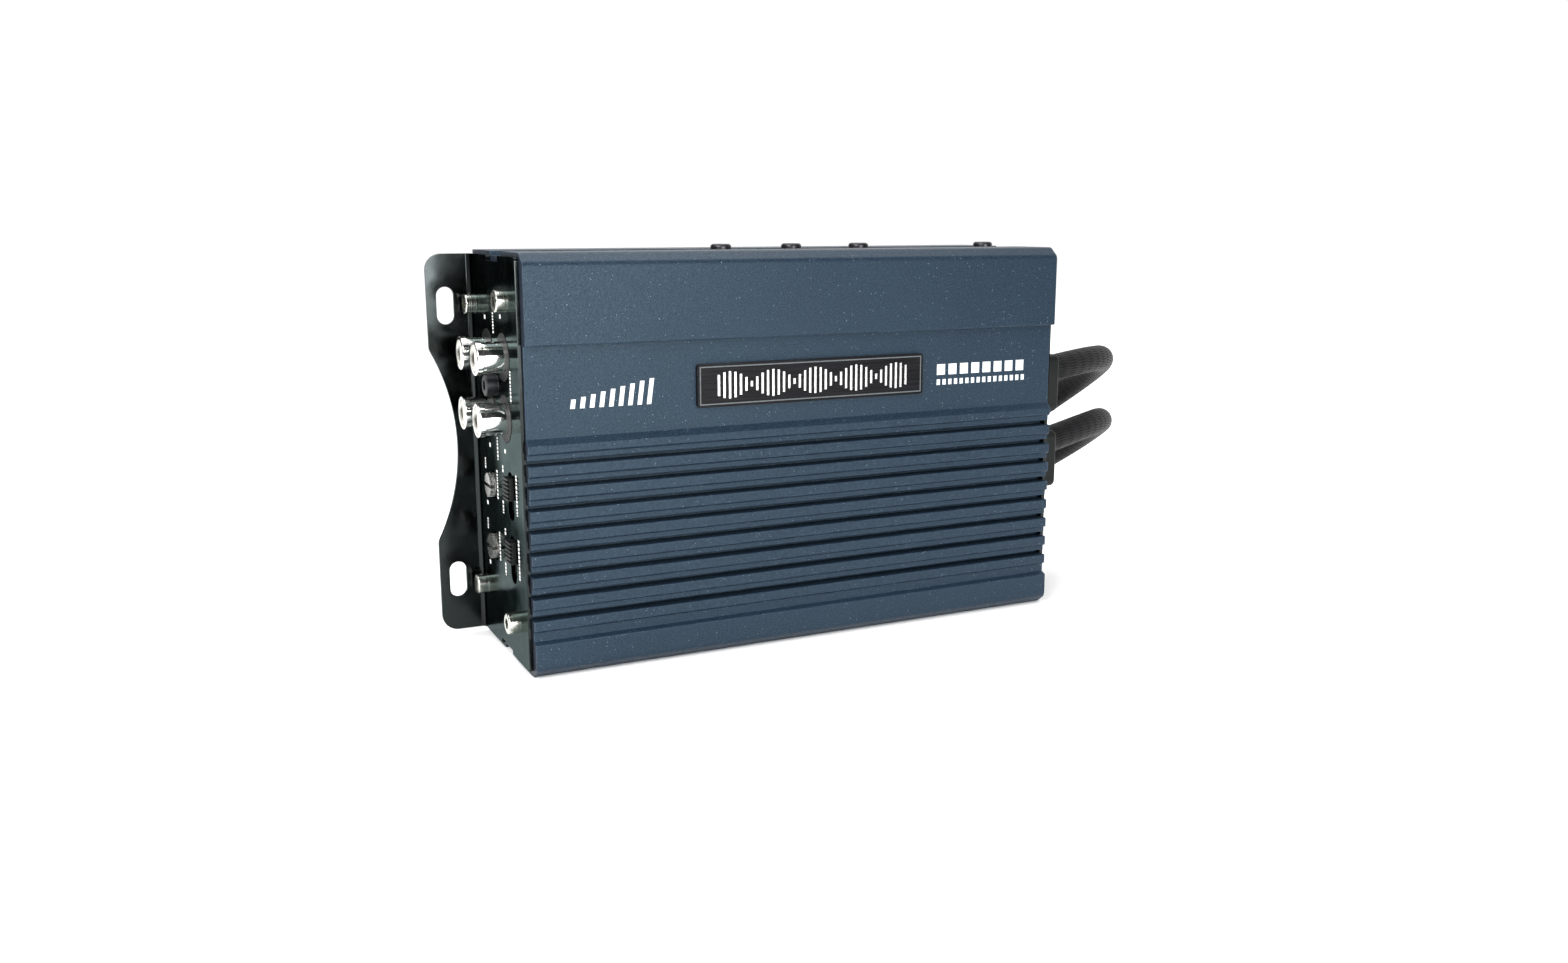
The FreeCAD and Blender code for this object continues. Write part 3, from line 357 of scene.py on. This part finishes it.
def plain_plastic(name, color, rough, grain, spread=0.15):
    """One-coloured plastic with a fine grain and a slight spread of tone."""
    s = Shader(name, color, rough)
    low = tuple(c * (1.0 - spread) for c in color)
    high = tuple(min(1.0, c * (1.0 + spread)) for c in color)
    s.color(s.mix(s.remap(s.noise(220.0, 3.0), 0.35, 0.65), low, high))
    s.rough(s.remap(s.noise(900.0, 2.0), 0.3, 0.7, rough * 0.8, rough * 1.2))
    s.bump(s.noise(grain, 2.0), 0.00002, 0.5)
    return s.material


def badge_lacquer():
    """Black lacquer with a faint brushed grain along the badge."""
    s = Shader("badge_black_lacquer", (0.004, 0.004, 0.005), 0.3)
    s.set("Specular IOR Level", 0.12)
    grain = s.noise(1.0, 2.0, 0.5, s.scaled((120.0, 3000.0, 3000.0)))
    s.color(s.mix(s.remap(grain, 0.35, 0.65), (0.003, 0.003, 0.004), (0.006, 0.006, 0.007)))
    s.rough(s.remap(grain, 0.3, 0.7, 0.24, 0.38))
    s.bump(grain, 0.00001, 0.4)
    return s.material


def circuit_board():
    """Green solder mask with darker copper tracks under it."""
    s = Shader("circuit_board_green", (0.015, 0.11, 0.045), 0.3)
    tracks = s.remap(s.cells(420.0, "Color"), 0.46, 0.50)
    s.color(s.mix(tracks, (0.012, 0.10, 0.040), (0.030, 0.16, 0.060)))
    s.bump(tracks, 0.00004, 0.6)
    return s.material


def wound_copper():
    """Enamelled copper wire wound in close turns."""
    s = Shader("enamelled_copper", (0.55, 0.22, 0.08), 0.3, 0.8)
    turns = s.noise(1.0, 1.0, 0.5, s.scaled((1600.0, 300.0, 1600.0)))
    s.color(s.mix(s.remap(turns, 0.4, 0.6), (0.30, 0.10, 0.035), (0.66, 0.30, 0.12)))
    s.bump(turns, 0.0002, 0.7)
    return s.material


def braided_sleeve():
    """Black braided cable sleeve: two crossing families of fine strands around the lead."""
    s = Shader("braided_sleeve_black", (0.010, 0.010, 0.011), 0.6)
    s.set("Specular IOR Level", 0.15)
    uv = s.nodes.new("ShaderNodeUVMap")
    weave = None
    for slant in (1.0, -1.0):
        node = s.nodes.new("ShaderNodeMapping")
        node.inputs["Rotation"].default_value = (0.0, 0.0, math.radians(45.0) * slant)
        s.link(uv.outputs["UV"], node.inputs["Vector"])
        wave = s.nodes.new("ShaderNodeTexWave")
        wave.inputs["Scale"].default_value = 14.0
        wave.inputs["Distortion"].default_value = 0.4
        s.link(node.outputs["Vector"], wave.inputs["Vector"])
        strands = wave.outputs["Fac"]
        weave = strands if weave is None else s.math("MAXIMUM", weave, strands)
    s.color(s.mix(weave, (0.002, 0.002, 0.002), (0.009, 0.009, 0.010)))
    s.rough(s.remap(weave, 0.0, 1.0, 0.7, 0.42))
    s.bump(weave, 0.00025, 0.8)
    return s.material


def printed_ink(name, color):
    """Screen-printed ink with slightly uneven cover."""
    s = Shader(name, color, 0.5)
    low = tuple(c * 0.82 for c in color)
    s.color(s.mix(s.remap(s.noise(1400.0, 3.0), 0.35, 0.6), low, color))
    s.rough(s.remap(s.noise(900.0, 2.0), 0.3, 0.7, 0.42, 0.62))
    s.bump(s.noise(2400.0, 2.0), 0.00001, 0.5)
    return s.material


def floor_paint():
    """Matt, nearly white studio floor."""
    s = Shader("pale_floor", (0.93, 0.93, 0.93), 0.8)
    s.set("Specular IOR Level", 0.1)
    s.rough(s.remap(s.noise(30.0, 2.0), 0.3, 0.7, 0.75, 0.85))
    return s.material


def card_paint():
    """Matt black studio card."""
    s = Shader("dark_card", (0.02, 0.02, 0.02), 0.9)
    s.rough(s.remap(s.noise(30.0, 2.0), 0.3, 0.7, 0.85, 0.95))
    return s.material


def all_materials():
    """One material per material slot of the record, and one per printed ink."""
    return {
        "housing_blue": powder_coat(),
        "end_plate_black": gloss_black(),
        "base_steel": satin_black(),
        "screw_nickel": turned_metal("bright_nickel", (0.64, 0.65, 0.59), 0.20, 5000.0, 0.6),
        "screw_black": black_oxide(),
        "jack_chrome": turned_metal("polished_chrome", (0.80, 0.80, 0.78), 0.10, 7000.0, 0.9),
        "shaft_nickel": turned_metal("nickel_shaft", (0.60, 0.59, 0.57), 0.26, 5200.0, 0.7),
        "plastic_black": moulded_black(),
        "plastic_white": plain_plastic("white_nylon", (0.70, 0.69, 0.65), 0.45, 2400.0, 0.08),
        "board_green": circuit_board(),
        "ferrite": plain_plastic("ferrite_grey", (0.07, 0.07, 0.075), 0.6, 1500.0),
        "copper_winding": wound_copper(),
        "capacitor_sleeve": plain_plastic("capacitor_sleeve", (0.03, 0.05, 0.15), 0.25, 700.0),
        "pad_grey": plain_plastic("silicone_pad", (0.42, 0.43, 0.45), 0.7, 1600.0),
        "badge_black": badge_lacquer(),
        "badge_silver": turned_metal("badge_silver", (0.80, 0.80, 0.80), 0.28, 3000.0, 0.85),
        "lead_black": braided_sleeve(),
        "pin_brass": turned_metal("tinned_brass", (0.72, 0.62, 0.40), 0.25, 4000.0, 0.8),
        "silver_ink": printed_ink("silver_ink", (0.55, 0.58, 0.60)),
        "border_ink": printed_ink("border_ink", (0.07, 0.08, 0.085)),
        "white_ink": printed_ink("white_ink", (0.80, 0.80, 0.78)),
    }


# ---------------------------------------------------------------- mesh helpers

def new_mesh(name, build, material):
    """Flat-shaded object out of a bmesh that build(bm) fills; rides on the housing."""
    bm = bmesh.new()
    build(bm)
    bmesh.ops.recalc_face_normals(bm, faces=bm.faces)
    mesh = bpy.data.meshes.new(name)
    bm.to_mesh(mesh)
    bm.free()
    for polygon in mesh.polygons:
        polygon.use_smooth = False
    mesh.materials.append(material)
    obj = bpy.data.objects.new(name, mesh)
    bpy.context.scene.collection.objects.link(obj)
    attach(obj, "housing")


# ---------------------------------------------------------------- printed marks, in millimetres

def add_block(bm, x, y, z):
    """Block between pairs of limits in millimetres."""
    corners = [bm.verts.new((a * MM, b * MM, c * MM)) for a in x for b in y for c in z]
    for ids in ((0, 1, 3, 2), (4, 6, 7, 5), (0, 4, 5, 1), (2, 3, 7, 6), (0, 2, 6, 4), (1, 5, 7, 3)):
        bm.faces.new([corners[i] for i in ids])


def on_front(face_y):
    """Limits in Y of ink printed on a face that looks along -Y."""
    return (face_y - INK, face_y)


def left_mark(bm):
    """Plain mark of slanted strokes that grow from left to right."""
    x0, x1, z0, z1 = LEFT_MARK
    front_y, back_y = on_front(PANEL_FACE_Y)
    pitch = (x1 - x0) / STROKES
    for i in range(STROKES):
        reach = SHORTEST_STROKE + (1.0 - SHORTEST_STROKE) * i / (STROKES - 1)
        top = z0 + (z1 - z0) * reach
        lean = STROKE_LEAN * reach
        low, high = x0 + i * pitch, x0 + i * pitch + STROKE_WIDTH
        outline = ((low, z0), (high, z0), (high + lean, top), (low + lean, top))
        front = [bm.verts.new((x * MM, front_y * MM, z * MM)) for x, z in outline]
        back = [bm.verts.new((x * MM, back_y * MM, z * MM)) for x, z in outline]
        bm.faces.new(front)
        bm.faces.new(list(reversed(back)))
        for a in range(4):
            b = (a + 1) % 4
            bm.faces.new([front[a], back[a], back[b], front[b]])


def right_mark(bm):
    """A row of tall blocks above a row of low ones."""
    x0, x1, z0, z1 = RIGHT_MARK
    tall, low = (z0 + TALL_ROW_RAISED, z1), (z0, z0 + LOW_ROW_HEIGHT)
    for z, (pitch, gap) in ((tall, TALL_ROW), (low, LOW_ROW)):
        x = x0
        while x + pitch - gap <= x1:
            add_block(bm, (x, x + pitch - gap), on_front(PANEL_FACE_Y), z)
            x += pitch


def badge_border(bm):
    """Thin line around the badge, just inside its limits."""
    x0, x1, z0, z1 = BADGE_BORDER
    y = on_front(BADGE_FACE_Y)
    inner_z = (z0 + BORDER_WIDTH, z1 - BORDER_WIDTH)
    add_block(bm, (x0, x1), y, (z0, z0 + BORDER_WIDTH))
    add_block(bm, (x0, x1), y, (z1 - BORDER_WIDTH, z1))
    add_block(bm, (x0, x0 + BORDER_WIDTH), y, inner_z)
    add_block(bm, (x1 - BORDER_WIDTH, x1), y, inner_z)


def plate_ticks(bm):
    """Columns of short dashes of uneven length beside the controls and jacks."""
    x = (PLATE_FACE_X - INK, PLATE_FACE_X)
    for y, high, low in TICK_COLUMNS:
        z = high
        while z > low:
            length = random.uniform(*DASH_LENGTH)
            half = DASH_WIDTH / 2 * random.uniform(*DASH_SHARE)
            add_block(bm, x, (y - half, y + half), (max(low, z - length), z))
            z -= length + random.uniform(*DASH_GAP)
    half_y, half_z = TICK_HALF
    for y, z in TICKS:
        add_block(bm, x, (y - half_y, y + half_y), (z - half_z, z + half_z))


def printed_marks(materials):
    """All the printed marks, each one piece in its own ink."""
    for name, build, material in (
        ("left_mark", left_mark, "silver_ink"),
        ("right_mark", right_mark, "silver_ink"),
        ("badge_border", badge_border, "border_ink"),
        ("plate_ticks", plate_ticks, "white_ink"),
    ):
        new_mesh(name, build, materials[material])


# ---------------------------------------------------------------- leads

def lead_curve(name, route, material):
    """Smooth lead through the route's control points."""
    curve = bpy.data.curves.new(name, "CURVE")
    curve.dimensions = "3D"
    spline = curve.splines.new("NURBS")
    spline.points.add(len(route) - 1)
    for point, place in zip(spline.points, route):
        point.co = (*place, 1.0)
    spline.order_u = LEAD_ORDER
    spline.use_endpoint_u = True
    spline.resolution_u = LEAD_STEPS
    curve.bevel_depth = LEAD_DIAMETER / 2
    curve.bevel_resolution = LEAD_ROUNDNESS
    curve.use_fill_caps = True
    curve.materials.append(material)
    obj = bpy.data.objects.new(name, curve)
    bpy.context.scene.collection.objects.link(obj)
    return obj


def leads(material):
    """Both leads as curves that stand in for the plain CAD tubes."""
    for kind, route, length in (
        ("power", POWER_ROUTE, POWER_LENGTH),
        ("speaker", SPEAKER_ROUTE, SPEAKER_LENGTH),
    ):
        sleeve = lead_curve(kind + "_lead_sleeve", route, material)
        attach(sleeve, "housing")
        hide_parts(kind + "_lead")


# ---------------------------------------------------------------- stage

def add_camera():
    """Camera at the named place, heading and tilt."""
    data = bpy.data.cameras.new("camera")
    data.lens = CAMERA_LENS
    data.sensor_width = CAMERA_SENSOR
    data.clip_start = 0.01
    camera = bpy.data.objects.new("camera", data)
    camera.location = CAMERA_AT
    camera.rotation_euler = (math.radians(90.0 - CAMERA_DROP), 0.0, math.radians(-CAMERA_HEADING))
    bpy.context.scene.collection.objects.link(camera)
    bpy.context.scene.camera = camera


def area_light(name, at, aim, size, power):
    """Rectangular light that looks from one point at another."""
    data = bpy.data.lights.new(name, "AREA")
    data.shape = "RECTANGLE"
    data.size = size[0]
    data.size_y = size[1]
    data.energy = power
    light = bpy.data.objects.new(name, data)
    light.location = at
    light.rotation_euler = (Vector(aim) - Vector(at)).to_track_quat("-Z", "Y").to_euler()
    bpy.context.scene.collection.objects.link(light)


def stage_plane(name, corners, material):
    """Flat stage piece through four corners."""
    mesh = bpy.data.meshes.new(name)
    mesh.from_pydata(corners, [], [(0, 1, 2, 3)])
    mesh.materials.append(material)
    plane = bpy.data.objects.new(name, mesh)
    bpy.context.scene.collection.objects.link(plane)
    return plane


def upright_card(name, start, end, height, material):
    """Dark upright card between two floor points that shows in reflections only."""
    low = [(*start, 0.0), (*end, 0.0)]
    high = [(*end, height), (*start, height)]
    card = stage_plane(name, low + high, material)
    card.visible_camera = False
    card.visible_diffuse = False
    card.visible_shadow = False


def stage():
    """Pale floor, soft lights and a white sky, with dark cards for the reflections."""
    half = FLOOR_HALF
    corners = [(-half, -half, 0.0), (half, -half, 0.0), (half, half, 0.0), (-half, half, 0.0)]
    stage_plane("floor", corners, floor_paint())
    dark = card_paint()
    for name, start, end, height in CARDS:
        upright_card(name, start, end, height, dark)
    for light in LIGHTS:
        area_light(*light)
    world = bpy.data.worlds.new("sky")
    world.use_nodes = True
    background = world.node_tree.nodes["Background"]
    background.inputs["Color"].default_value = SKY_COLOR
    background.inputs["Strength"].default_value = SKY_STRENGTH
    bpy.context.scene.world = world
    bpy.context.scene.view_settings.view_transform = "Standard"


# ---------------------------------------------------------------- main

def paint_nodes(frame, materials):
    """Every CAD node gets the material of its slot in the record."""
    slots = {part["node"]: part["material_slot"] for part in frame["record"]["subparts"]}
    for name, obj in frame["nodes"].items():
        obj.data.materials.clear()
        obj.data.materials.append(materials[slots[name]])


def main():
    random.seed(SEED)
    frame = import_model()
    add_camera()
    materials = all_materials()
    leads(materials["lead_black"])
    printed_marks(materials)
    paint_nodes(frame, materials)
    stage()


main()
